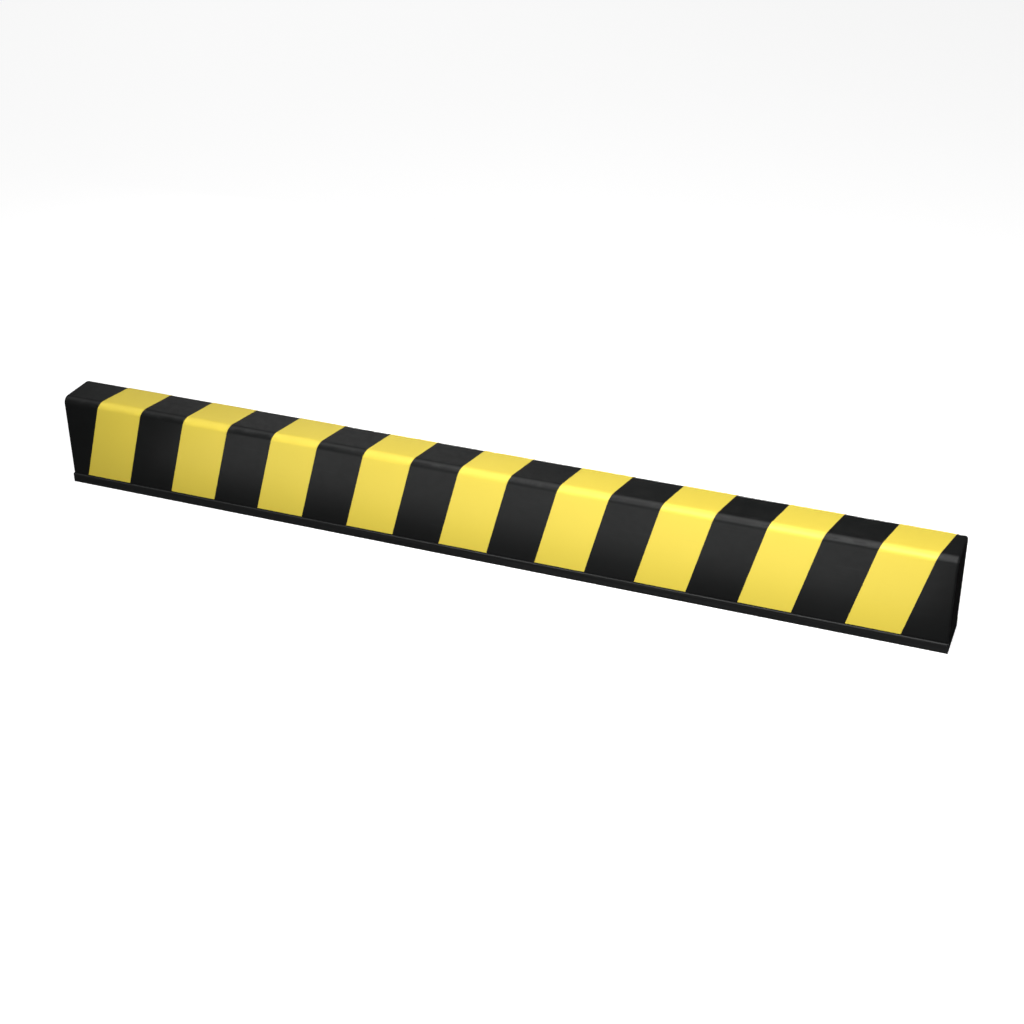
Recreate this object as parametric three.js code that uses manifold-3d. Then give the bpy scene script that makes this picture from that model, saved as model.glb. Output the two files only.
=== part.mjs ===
// Parking wheel stop: a striped rubber cover on a steel hat-section core, which slides into an
// aluminium rail that is anchored to the ground. Millimetres, +Z up, +X along the stop.
// The wheel meets the front face, which looks along -Y. The origin is on the ground, under the middle.
import * as THREE from "three";
import { RoundedBoxGeometry } from "three/addons/geometries/RoundedBoxGeometry.js";
import { mergeVertices } from "three/addons/utils/BufferGeometryUtils.js";
import Module from "manifold-3d";

const wasm = await Module();
wasm.setup();

// Driving dimensions
const LENGTH = 1000;
const GAP = 0.05; // between pieces that rest on each other

const RAIL = { width: 54.8, height: 11.2, wall: 3, floor: 3.5, lip: 3, neck: 32, corner: 0.8 };
const CAP = { plate: 2, plug: 13, fit: 0.3 };
const GASKET = { thickness: 0.8, inset: 1, inner: 34, corner: 2.5 };
const COVER = { width: 53.2, top: 107.7, wall: 4.5, radius: 8.2, endRadius: 3, toe: 5, toeGap: 0.5 };
const CAVITY_RADIUS = 3;
const CORE = { width: 30, sheet: 4, top: 88, length: 960, lift: 0.1, flangeReach: 23.8, bend: 2 };
const GUSSET = { thickness: 4, chamfer: 6, clearance: 0.1, fromEnd: 6 };
const LINER = { thickness: 0.5, width: 7 };
const STRIPE = { count: 9, pitch: 109.66, width: 55.1, first: -479.2, film: 0.3, standOff: 0.15 };
const LEAN = { side: 0.279, top: 0.206 }; // sideways run of a stripe for each mm along a side or the top
const POCKET = { height: 40, radius: 10, wall: 3, floor: 4, hole: 3.3, count: 5, stripesApart: 2 };
const SCREW = { radius: 3, length: 16, head: 5.25, headHeight: 3.3, socket: 2.3, socketDepth: 2 };
const WASHER = { radius: 8.5, hole: 3.2, thickness: 1.5 };
const NUT = { radius: 4.5, bore: 3.1, length: 13, clearance: 0.1 };
const NUT_FLANGE = { radius: 6, thickness: 1 };
const NUT_BULGE = { radius: 6.2, depth: 2.5 };
const LOCK = { radius: 2, length: 3.4, socket: 1.15, socketDepth: 2, spacing: 300, clearance: 0.05 };
const ANCHOR = { radius: 5.5, innerX: 200, outerX: 400 };
const CLEAR = 0.3; // round the soft strips

// Levels that follow from them
const coverBase = RAIL.height + 2 * GAP + GASKET.thickness;
const coverHalf = COVER.width / 2;
const cavityHalf = coverHalf - COVER.wall;
const cavityTop = COVER.top - COVER.wall;
const cavityEnd = LENGTH / 2 - COVER.wall;
const toeTop = coverBase + COVER.toe;
const coreEnd = CORE.length / 2;
const flangeBase = RAIL.floor + CORE.lift;

const material = (color, roughness, metalness = 0) =>
  new THREE.MeshStandardMaterial({ color, roughness, metalness });
const MATERIALS = {
  rail: material(0x1f2022, 0.45, 0.6),
  cap: material(0x141415, 0.6),
  gasket: material(0x0c0c0c, 0.9),
  cover: material(0x1a1b1c, 0.5),
  film: material(0xf7dc3f, 0.35),
  core: material(0x9ba0a3, 0.45, 0.9),
  buffer: material(0x2a2a2b, 0.95),
  liner: material(0xd9d9d4, 0.6),
  zinc: material(0xb9bcc0, 0.3, 1),
};

// A closed geometry as a manifold-3d solid, and the way back.
function solidOf(geometry) {
  const bare = geometry.clone();
  bare.deleteAttribute("normal");
  bare.deleteAttribute("uv");
  const merged = mergeVertices(bare, 1e-4);
  return new wasm.Manifold(
    new wasm.Mesh({
      numProp: 3,
      vertProperties: merged.attributes.position.array,
      triVerts: new Uint32Array(merged.index.array),
    }),
  );
}

function geometryOf(solid) {
  const { vertProperties, triVerts } = solid.getMesh();
  const geometry = new THREE.BufferGeometry();
  geometry.setAttribute("position", new THREE.BufferAttribute(vertProperties, 3));
  geometry.setIndex(new THREE.BufferAttribute(triVerts, 1));
  geometry.computeVertexNormals();
  return geometry;
}

const cut = (body, tools) => tools.reduce((left, tool) => left.subtract(solidOf(tool)), body);
const join = (body, extras) => extras.reduce((whole, extra) => whole.add(solidOf(extra)), body);

function boxBetween([x0, y0, z0], [x1, y1, z1]) {
  const box = new THREE.BoxGeometry(x1 - x0, y1 - y0, z1 - z0);
  return box.translate((x0 + x1) / 2, (y0 + y1) / 2, (z0 + z1) / 2);
}

// A cylinder that runs along Y from y0 to y1.
function cylinderY(radius, x, z, y0, y1, sides = 28) {
  return new THREE.CylinderGeometry(radius, radius, y1 - y0, sides).translate(x, (y0 + y1) / 2, z);
}

// A section drawn with Y across and Z up, extruded along X about the middle.
const TURN_TO_X = new THREE.Matrix4().makeBasis(
  new THREE.Vector3(0, 1, 0),
  new THREE.Vector3(0, 0, 1),
  new THREE.Vector3(1, 0, 0),
);

function alongX(section, length, curveSegments = 4) {
  const geometry = new THREE.ExtrudeGeometry(section, { depth: length, bevelEnabled: false, curveSegments });
  return geometry.applyMatrix4(TURN_TO_X).translate(-length / 2, 0, 0);
}

// The same, with the edges of both ends rounded.
function alongXWithRoundEnds(section, length, radius) {
  const geometry = new THREE.ExtrudeGeometry(section, {
    depth: length - 2 * radius,
    curveSegments: 4,
    bevelThickness: radius,
    bevelSize: radius,
    bevelOffset: -radius,
    bevelSegments: 4,
  });
  return geometry.applyMatrix4(TURN_TO_X).translate(radius - length / 2, 0, 0);
}

function outline(points) {
  return new THREE.Shape(points.map(([y, z]) => new THREE.Vector2(y, z)));
}

function roundedRectangle(y0, z0, y1, z1, r) {
  const shape = new THREE.Shape();
  shape.absarc(y1 - r, z0 + r, r, -Math.PI / 2, 0);
  shape.absarc(y1 - r, z1 - r, r, 0, Math.PI / 2);
  shape.absarc(y0 + r, z1 - r, r, Math.PI / 2, Math.PI);
  shape.absarc(y0 + r, z0 + r, r, Math.PI, 1.5 * Math.PI);
  return shape;
}

const part = new THREE.Group();
part.name = "parking_wheel_stop";

function add(name, geometry, look, position = [0, 0, 0]) {
  const mesh = new THREE.Mesh(geometry, MATERIALS[look]);
  mesh.name = name;
  mesh.position.set(...position);
  part.add(mesh);
  return mesh;
}

// How far a stripe has run sideways at a point of the cover, going up the front, over and down the back.
function leanAt(y, z) {
  const up = y < 0 ? z - coverBase : 2 * COVER.top - coverBase - z;
  return LEAN.side * up + LEAN.top * (y + coverHalf);
}

// The screw pockets sit in the middle of black fields on the back face.
function pocketX(index) {
  const blackWidth = STRIPE.pitch - STRIPE.width;
  const field = index * POCKET.stripesApart - 1;
  const start = STRIPE.first + field * STRIPE.pitch + leanAt(coverHalf, POCKET.height);
  return start + STRIPE.width + blackWidth / 2;
}
const pockets = Array.from({ length: POCKET.count }, (_, index) => pocketX(index));

// Base rail: a C section with two lips that hold the core's flanges, anchor holes and lock-screw holes.
const lockHeight = flangeBase + CORE.sheet / 2;
const lockXs = [-LOCK.spacing, 0, LOCK.spacing];

function railSection() {
  const half = RAIL.width / 2;
  const inner = half - RAIL.wall;
  const neck = RAIL.neck / 2;
  const lipBase = RAIL.height - RAIL.lip;
  const c = RAIL.corner;
  const right = [
    [half - c, 0],
    [half, c],
    [half, RAIL.height - c],
    [half - c, RAIL.height],
    [neck, RAIL.height],
    [neck, lipBase],
    [inner, lipBase],
    [inner, RAIL.floor],
  ];
  const left = right.map(([y, z]) => [-y, z]).reverse();
  return outline([...right, ...left]);
}

function baseRail() {
  const half = RAIL.width / 2;
  const anchors = [-ANCHOR.outerX, -ANCHOR.innerX, ANCHOR.innerX, ANCHOR.outerX].map((x) =>
    new THREE.CylinderGeometry(ANCHOR.radius, ANCHOR.radius, 3 * RAIL.floor, 28)
      .rotateX(Math.PI / 2)
      .translate(x, 0, RAIL.floor / 2),
  );
  const locks = lockXs.map((x) =>
    cylinderY(LOCK.radius + LOCK.clearance, x, lockHeight, half - 2 * RAIL.wall + 1, half + 1, 20),
  );
  const rail = solidOf(alongX(railSection(), LENGTH - 2 * (CAP.plate + GAP)));
  return geometryOf(cut(rail, [...anchors, ...locks]));
}

// End cap: a thin plate with a T-shaped plug that fills the rail's slot and neck.
function railEndCap(side) {
  const half = RAIL.width / 2;
  const slot = half - RAIL.wall - CAP.fit;
  const neck = RAIL.neck / 2 - CAP.fit;
  const plugBase = RAIL.floor + CAP.fit;
  const slotTop = RAIL.height - RAIL.lip - CAP.fit;
  const plug = outline([
    [slot, plugBase],
    [slot, slotTop],
    [neck, slotTop],
    [neck, RAIL.height],
    [-neck, RAIL.height],
    [-neck, slotTop],
    [-slot, slotTop],
    [-slot, plugBase],
  ]);
  const plate = roundedRectangle(-half, 0, half, RAIL.height, RAIL.corner);
  const plateX = LENGTH / 2 - CAP.plate / 2;
  const plugX = LENGTH / 2 - CAP.plate - CAP.plug / 2 + GAP;
  const cap = solidOf(alongX(plate, CAP.plate).translate(plateX, 0, 0));
  const whole = geometryOf(join(cap, [alongX(plug, CAP.plug).translate(plugX, 0, 0)]));
  return side > 0 ? whole : whole.rotateZ(Math.PI);
}

// Gasket: a flat rubber frame between the rail and the cover.
function baseGasket() {
  const halfX = LENGTH / 2 - GASKET.inset;
  const halfY = coverHalf - GASKET.inset;
  const frame = roundedRectangle(-halfX, -halfY, halfX, halfY, GASKET.corner);
  frame.holes.push(roundedRectangle(-coreEnd - 2, -GASKET.inner / 2, coreEnd + 2, GASKET.inner / 2, 1));
  return new THREE.ExtrudeGeometry(frame, {
    depth: GASKET.thickness,
    bevelEnabled: false,
    curveSegments: 5,
  }).translate(0, 0, RAIL.height + GAP);
}

// Core: one folded steel hat with outward flanges, and bulkheads welded inside it, one near each end
// and one halfway between each two screws.
const gussetXs = [
  -coreEnd + GUSSET.fromEnd,
  ...pockets.slice(1).map((x, i) => (x + pockets[i]) / 2),
  coreEnd - GUSSET.fromEnd,
];

function coreSection() {
  const outer = CORE.width / 2;
  const inner = outer - CORE.sheet;
  const flangeTop = flangeBase + CORE.sheet;
  const b = CORE.bend;
  const right = [
    [inner, flangeBase],
    [CORE.flangeReach, flangeBase],
    [CORE.flangeReach, flangeTop],
    [outer, flangeTop],
    [outer, CORE.top - b],
    [outer - b, CORE.top],
  ];
  const left = right.map(([y, z]) => [-y, z]).reverse();
  const webBase = CORE.top - CORE.sheet;
  return outline([...right, ...left, [-inner, webBase], [inner, webBase]]);
}

function coreChannel() {
  const outer = CORE.width / 2;
  const holes = pockets.map((x) =>
    cylinderY(NUT.radius + NUT.clearance, x, POCKET.height, outer - 2 * CORE.sheet, outer + 1),
  );
  return geometryOf(cut(solidOf(alongX(coreSection(), CORE.length)), holes));
}

function coreGusset() {
  const half = CORE.width / 2 - CORE.sheet - GUSSET.clearance;
  const base = flangeBase + CORE.sheet;
  const top = CORE.top - CORE.sheet - GUSSET.clearance;
  const c = GUSSET.chamfer;
  const plate = outline([
    [-half, base],
    [half, base],
    [half, top - c],
    [half - c, top],
    [-half + c, top],
    [-half, top - c],
  ]);
  return alongX(plate, GUSSET.thickness);
}

// Anti-rattle liner between a flange of the core and the rail's lip.
function slideLiner(side) {
  const outer = side * (RAIL.width / 2 - RAIL.wall - GAP);
  const inner = outer - side * LINER.width;
  const base = flangeBase + CORE.sheet + GAP;
  const [y0, y1] = [Math.min(outer, inner), Math.max(outer, inner)];
  return boxBetween([-coreEnd, y0, base], [coreEnd, y1, base + LINER.thickness]);
}

// Cover: rounded box, hollow and open below, with an inward toe and pockets for the screws at the back.
function cover() {
  const section = roundedRectangle(-coverHalf, coverBase - COVER.top, coverHalf, COVER.top, COVER.radius);
  const skin = alongXWithRoundEnds(section, LENGTH, COVER.endRadius);
  const hollow = new RoundedBoxGeometry(
    2 * cavityEnd,
    2 * cavityHalf,
    cavityTop - toeTop + 2 * CAVITY_RADIUS,
    3,
    CAVITY_RADIUS,
  ).translate(0, 0, (cavityTop + toeTop) / 2 - CAVITY_RADIUS);
  const aboveToe = boxBetween([-LENGTH, -LENGTH, toeTop], [LENGTH, LENGTH, LENGTH]);
  const neckX = coreEnd + COVER.toeGap;
  const neckY = CORE.width / 2 + COVER.toeGap;
  const neck = boxBetween([-neckX, -neckY, 0], [neckX, neckY, toeTop + 1]);
  const aboveBase = boxBetween([-LENGTH, -LENGTH, coverBase], [LENGTH, LENGTH, LENGTH]);
  const cavity = solidOf(hollow).intersect(solidOf(aboveToe));

  const floorStart = CORE.width / 2 + NUT_FLANGE.thickness + 3 * GAP;
  const floorEnd = floorStart + POCKET.floor;
  const bosses = pockets.map((x) =>
    cylinderY(POCKET.radius + POCKET.wall, x, POCKET.height, floorStart, cavityHalf + 1),
  );
  const recesses = pockets.map((x) =>
    cylinderY(POCKET.radius, x, POCKET.height, floorEnd, coverHalf + 1),
  );
  const holes = pockets.map((x) => cylinderY(POCKET.hole, x, POCKET.height, 0, coverHalf));

  const shell = solidOf(skin).intersect(solidOf(aboveBase)).subtract(cavity).subtract(solidOf(neck));
  return geometryOf(cut(join(shell, bosses), [...recesses, ...holes]));
}

// Rubber buffers that fill the room between the core and the cover.
function sideBuffer(side) {
  const inner = CORE.width / 2 + CLEAR;
  const outer = cavityHalf - CLEAR;
  const low = toeTop + CLEAR;
  const [y0, y1] = side < 0 ? [-outer, -inner] : [inner, outer];
  const strip = boxBetween([-coreEnd, y0, low], [coreEnd, y1, CORE.top]);
  if (side < 0) return strip;
  const windows = pockets.map((x) =>
    cylinderY(POCKET.radius + POCKET.wall + CLEAR, x, POCKET.height, 0, coverHalf),
  );
  return geometryOf(cut(solidOf(strip), windows));
}

function topBuffer() {
  const half = cavityHalf - CLEAR;
  const section = roundedRectangle(-half, CORE.top + CLEAR, half, cavityTop - CLEAR, CAVITY_RADIUS);
  return alongX(section, CORE.length);
}

function endBuffer() {
  const length = cavityEnd - coreEnd - 2 * CLEAR;
  const half = cavityHalf - CAVITY_RADIUS;
  const high = cavityTop - CAVITY_RADIUS;
  return boxBetween([-length / 2, -half, toeTop + CLEAR], [length / 2, half, high]);
}

// Hazard stripe: a band of film up the front, over the top and down the back. Every point of it runs
// sideways by the lean at its place. It stops where the cover's ends begin to round.
function filmSection() {
  const inner = STRIPE.standOff;
  const outer = inner + STRIPE.film;
  const r = COVER.radius;
  const centreY = coverHalf - r;
  const centreZ = COVER.top - r;
  const section = new THREE.Shape();
  section.moveTo(coverHalf + outer, coverBase);
  section.absarc(centreY, centreZ, r + outer, 0, Math.PI / 2);
  section.absarc(-centreY, centreZ, r + outer, Math.PI / 2, Math.PI);
  section.lineTo(-coverHalf - outer, coverBase);
  section.lineTo(-coverHalf - inner, coverBase);
  section.absarc(-centreY, centreZ, r + inner, Math.PI, Math.PI / 2, true);
  section.absarc(centreY, centreZ, r + inner, Math.PI / 2, 0, true);
  section.lineTo(coverHalf + inner, coverBase);
  return section;
}

function hazardStripe(index) {
  const band = alongX(filmSection(), STRIPE.width, 5).translate(STRIPE.width / 2, 0, 0);
  const place = band.attributes.position;
  for (let i = 0; i < place.count; i++) {
    const run = leanAt(place.getY(i), place.getZ(i));
    place.setX(i, place.getX(i) + STRIPE.first + index * STRIPE.pitch + run);
  }
  const reach = LENGTH / 2 - COVER.endRadius;
  const straightPart = boxBetween([-reach, -LENGTH, 0], [reach, LENGTH, LENGTH]);
  return geometryOf(solidOf(band).intersect(solidOf(straightPart)));
}

// Fasteners. Each stands along Y, with its head towards the back.
const nutSeat = CORE.width / 2 + GAP;
const washerSeat = CORE.width / 2 + NUT_FLANGE.thickness + POCKET.floor + 4 * GAP;
const headSeat = washerSeat + WASHER.thickness + GAP;

const lathe = (points, sides = 16) =>
  new THREE.LatheGeometry(points.map(([r, y]) => new THREE.Vector2(r, y)), sides);

function buttonHeadScrew() {
  const dome = [];
  const rim = 0.9;
  for (let step = 0; step <= 4; step++) {
    const angle = (step / 5) * (Math.PI / 2);
    dome.push([SCREW.head * Math.cos(angle), rim + (SCREW.headHeight - rim) * Math.sin(angle)]);
  }
  const screw = lathe([
    [0, -SCREW.length],
    [SCREW.radius - 0.5, -SCREW.length],
    [SCREW.radius, -SCREW.length + 0.5],
    [SCREW.radius, 0],
    [SCREW.head, 0],
    ...dome,
    [0, SCREW.headHeight],
  ]);
  const top = SCREW.headHeight;
  const socket = cylinderY(SCREW.socket, 0, 0, top - SCREW.socketDepth, top + 1, 6);
  return geometryOf(cut(solidOf(screw), [socket]));
}

function washer() {
  const t = WASHER.thickness;
  return lathe(
    [
      [WASHER.hole, 0],
      [WASHER.radius - 0.2, 0],
      [WASHER.radius, 0.2],
      [WASHER.radius, t - 0.2],
      [WASHER.radius - 0.2, t],
      [WASHER.hole, t],
      [WASHER.hole, 0],
    ],
    20,
  );
}

function rivetNut() {
  const wallBack = -CORE.sheet - 2 * GAP;
  const bulgeEnd = wallBack - NUT_BULGE.depth;
  return lathe([
    [NUT.bore, -NUT.length],
    [NUT.radius, -NUT.length],
    [NUT.radius, bulgeEnd],
    [NUT_BULGE.radius, (wallBack + bulgeEnd) / 2],
    [NUT.radius, wallBack],
    [NUT.radius, 0],
    [NUT_FLANGE.radius, 0],
    [NUT_FLANGE.radius, NUT_FLANGE.thickness],
    [NUT.bore, NUT_FLANGE.thickness],
    [NUT.bore, -NUT.length],
  ]);
}

function lockScrew() {
  const screw = lathe([
    [0, 0],
    [LOCK.radius - 0.5, 0],
    [LOCK.radius, 0.5],
    [LOCK.radius, LOCK.length],
    [0, LOCK.length],
  ]);
  const socket = cylinderY(LOCK.socket, 0, 0, LOCK.length - LOCK.socketDepth, LOCK.length + 1, 6);
  return geometryOf(cut(solidOf(screw), [socket]));
}

// Assembly
add("base_rail", baseRail(), "rail");
add("rail_end_cap_left", railEndCap(-1), "cap");
add("rail_end_cap_right", railEndCap(1), "cap");
add("base_gasket", baseGasket(), "gasket");
add("core_channel", coreChannel(), "core");
gussetXs.forEach((x, i) => add(`core_gusset_${i + 1}`, coreGusset(), "core", [x, 0, 0]));
add("slide_liner_front", slideLiner(-1), "liner");
add("slide_liner_rear", slideLiner(1), "liner");
add("cover", cover(), "cover");
add("front_buffer", sideBuffer(-1), "buffer");
add("rear_buffer", sideBuffer(1), "buffer");
add("top_buffer", topBuffer(), "buffer");
const endX = (cavityEnd + coreEnd) / 2;
add("end_buffer_left", endBuffer(), "buffer", [-endX, 0, 0]);
add("end_buffer_right", endBuffer(), "buffer", [endX, 0, 0]);
for (let i = 0; i < STRIPE.count; i++) add(`hazard_stripe_${i + 1}`, hazardStripe(i), "film");
pockets.forEach((x, i) => {
  add(`cover_screw_${i + 1}`, buttonHeadScrew(), "zinc", [x, headSeat, POCKET.height]);
  add(`cover_washer_${i + 1}`, washer(), "zinc", [x, washerSeat, POCKET.height]);
  add(`rivet_nut_${i + 1}`, rivetNut(), "zinc", [x, nutSeat, POCKET.height]);
});
const lockY = RAIL.width / 2 - LOCK.length - GAP;
lockXs.forEach((x, i) => add(`lock_screw_${i + 1}`, lockScrew(), "zinc", [x, lockY, lockHeight]));

export default part;
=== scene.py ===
"""Parking wheel stop: a moulded cover with slanting hazard bands, on an anchored aluminium rail."""

import math

import bmesh
import bpy
from bpy.props import FloatProperty, FloatVectorProperty, PointerProperty
from mathutils import Matrix, Vector


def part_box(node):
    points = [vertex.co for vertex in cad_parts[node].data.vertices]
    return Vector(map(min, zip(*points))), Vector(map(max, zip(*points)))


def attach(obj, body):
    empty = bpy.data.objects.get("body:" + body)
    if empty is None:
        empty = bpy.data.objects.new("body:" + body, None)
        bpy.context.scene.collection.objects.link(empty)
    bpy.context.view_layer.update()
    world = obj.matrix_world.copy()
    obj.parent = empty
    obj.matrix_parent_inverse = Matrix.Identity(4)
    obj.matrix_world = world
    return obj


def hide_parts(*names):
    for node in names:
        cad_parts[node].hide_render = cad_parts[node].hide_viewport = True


bl_info = {
    "name": "Parking wheel stop",
    "version": (1, 0, 0),
    "blender": (4, 5, 0),
    "location": "3D View > Sidebar > Wheel stop",
    "description": "Builds a striped parking wheel stop round its packed frame",
    "category": "Add Mesh",
}

MM = 0.001
BODY = "root"
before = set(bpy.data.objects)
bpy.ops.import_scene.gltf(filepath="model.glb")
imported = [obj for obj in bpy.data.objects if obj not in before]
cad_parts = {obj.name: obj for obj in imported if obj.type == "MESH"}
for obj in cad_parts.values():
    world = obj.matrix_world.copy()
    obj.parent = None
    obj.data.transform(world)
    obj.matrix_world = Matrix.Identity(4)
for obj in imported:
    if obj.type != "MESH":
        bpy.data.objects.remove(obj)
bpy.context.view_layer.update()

COVER_LOW, COVER_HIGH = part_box("cover")
BAND_STARTS = [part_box(f"hazard_stripe_{n}")[0].x for n in (1, 2)]
BAND_COUNT = sum(name.startswith("hazard_stripe_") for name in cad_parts)
SCREW_COUNT = sum(name.startswith("cover_screw_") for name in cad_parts)
LOCK_COUNT = sum(name.startswith("lock_screw_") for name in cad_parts)

# Cover sizes that the frame doesn't give
SPARE_DEPTH = 20 * MM
TOE_HEIGHT = 5 * MM
CAVITY_ROUND = 3 * MM
NECK_ROUND = 1 * MM
NECK_CLEARANCE = 0.5 * MM
BUFFER_OVERLAP = 0.2 * MM
SLAB_ROUND = 0.1 * MM
POCKET_WALL = 3 * MM
SCREW_HOLE = 3.3 * MM
NUT_GAP = 0.1 * MM
WASHER_GAP = 0.05 * MM

# Hexagon sockets of the screws
KEY_SIDES = 6
KEY_DEPTH = 2 * MM

# How finely round parts are made
FINE_SIDES = 64
MIDDLE_SIDES = 48
COARSE_SIDES = 32
ARC_STEPS = 14
END_STEPS = 8
DOME_STEPS = 10

# How meshes are joined, rounded and shaded
SAME_POINT = 1e-6
FLAT_ANGLE = math.radians(0.5)
BEVEL_ANGLE = math.radians(50)
SMOOTH_ANGLE = math.radians(32)
BROAD_FACE_WEIGHT = 100

# Studio
FLOOR_DROP = 0.05 * MM
SUN_PLACE = (-0.1, -0.20, 1.6)
SUN_SPREAD = math.radians(50)
SENSOR_WIDTH = 36
# Soft boxes: name, place, target, power in watts, width and depth in metres
SOFT_BOXES = (
    ("front_strip", (0.30, -0.70, 0.75), (0.25, 0, 0.05), 11.4, 0.9, 0.4),
    ("front_far", (0.30, -1.80, 1.30), (0.10, 0, 0.05), 9.5, 1.6, 1.0),
    ("table_panel", (0.02, -0.28, 0.004), (0.02, -0.28, 1.0), 0.67, 0.91, 0.36),
    ("back_box", (-1.55, 2.60, 1.50), (-0.20, 0, 0.1), 2.3, 1.2, 1.0),
    ("back_strip", (0.0, 0.90, 0.055), (0, 0, 0.05), 9.0, 1.2, 0.09),
)


def centre_of(node):
    low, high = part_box(node)
    return (low + high) / 2


# Sizes and colours


class CoverSettings(bpy.types.PropertyGroup):
    edge_radius: FloatProperty(
        name="Edge radius", description="Rounding of the two long top edges", default=8.2 * MM, unit="LENGTH"
    )
    end_radius: FloatProperty(
        name="End radius", description="Rounding round each end face", default=3 * MM, unit="LENGTH"
    )
    wall: FloatProperty(
        name="Wall", description="Thickness of the moulded wall", default=4.5 * MM, unit="LENGTH"
    )
    pocket_radius: FloatProperty(
        name="Pocket radius", description="Radius of a screw pocket", default=10 * MM, unit="LENGTH"
    )
    rim_radius: FloatProperty(
        name="Rim radius", description="Rounding of the lower rims", default=0.4 * MM, unit="LENGTH"
    )
    colour: FloatVectorProperty(
        name="Colour", description="Moulded skin", default=(0.0081, 0.0085, 0.0085), subtype="COLOR"
    )
    worn_colour: FloatVectorProperty(
        name="Worn colour", description="Rubbed skin", default=(0.045, 0.046, 0.046), subtype="COLOR"
    )


class BandSettings(bpy.types.PropertyGroup):
    width: FloatProperty(
        name="Width", description="Width of a band along the stop", default=55.1 * MM, unit="LENGTH"
    )
    film: FloatProperty(
        name="Film", description="Thickness of the film", default=0.28 * MM, unit="LENGTH"
    )
    stand_off: FloatProperty(
        name="Glue line", description="Gap between film and skin", default=0.02 * MM, unit="LENGTH"
    )
    side_lean: FloatProperty(
        name="Side lean", description="Sideways run per unit of height", default=0.279
    )
    top_lean: FloatProperty(
        name="Top lean", description="Sideways run per unit across the top", default=0.206
    )
    colour: FloatVectorProperty(
        name="Colour", description="Hazard film", default=(0.90, 0.715, 0.094), subtype="COLOR"
    )


class RailSettings(bpy.types.PropertyGroup):
    edge_round: FloatProperty(
        name="Edge rounding", description="Softening of the extruded edges", default=0.25 * MM, unit="LENGTH"
    )
    colour: FloatVectorProperty(
        name="Colour", description="Black anodised skin", default=(0.0135, 0.0138, 0.0140), subtype="COLOR"
    )
    gasket_round: FloatProperty(
        name="Gasket rounding", description="Softening of the gasket", default=0.2 * MM, unit="LENGTH"
    )


class StageSettings(bpy.types.PropertyGroup):
    lens: FloatProperty(name="Lens", description="Focal length in millimetres", default=62.31)
    camera_place: FloatVectorProperty(
        name="Camera place",
        description="Where the camera stands",
        default=(0.6407, -1.5125, 0.9760),
        unit="LENGTH",
    )
    camera_turn: FloatVectorProperty(
        name="Camera turn",
        description="Camera rotation",
        default=tuple(math.radians(a) for a in (60.440, 0.513, 21.579)),
        subtype="EULER",
    )
    floor_colour: FloatVectorProperty(
        name="Floor colour", description="Pale floor", default=(0.88, 0.88, 0.88), subtype="COLOR"
    )
    floor_size: FloatProperty(name="Floor size", description="Side of the floor", default=40.0, unit="LENGTH")
    sun: FloatProperty(name="Main light", description="Strength of the broad main light", default=0.85)
    table: FloatProperty(name="Table light", description="Glow of the floor", default=0.63)
    world: FloatProperty(name="Room light", description="Light from all round", default=0.012)


# Node trees


class Graph:
    """Short calls for putting nodes into one tree and joining them."""

    def __init__(self, tree):
        self.tree = tree

    def add(self, kind, inputs=None, **settings):
        node = self.tree.nodes.new(kind)
        for key, value in settings.items():
            setattr(node, key, value)
        for key, value in (inputs or {}).items():
            self.feed(node.inputs[key], value)
        return node

    def feed(self, socket, value):
        if isinstance(value, bpy.types.NodeSocket):
            self.tree.links.new(value, socket)
        else:
            socket.default_value = value

    def math(self, operation, *values):
        inputs = dict(enumerate(values))
        return self.add("ShaderNodeMath", inputs, operation=operation).outputs[0]

    def vector(self, x, y, z):
        return self.add("ShaderNodeCombineXYZ", {0: x, 1: y, 2: z}).outputs[0]

    def split(self, vector):
        return self.add("ShaderNodeSeparateXYZ", {0: vector}).outputs


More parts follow.
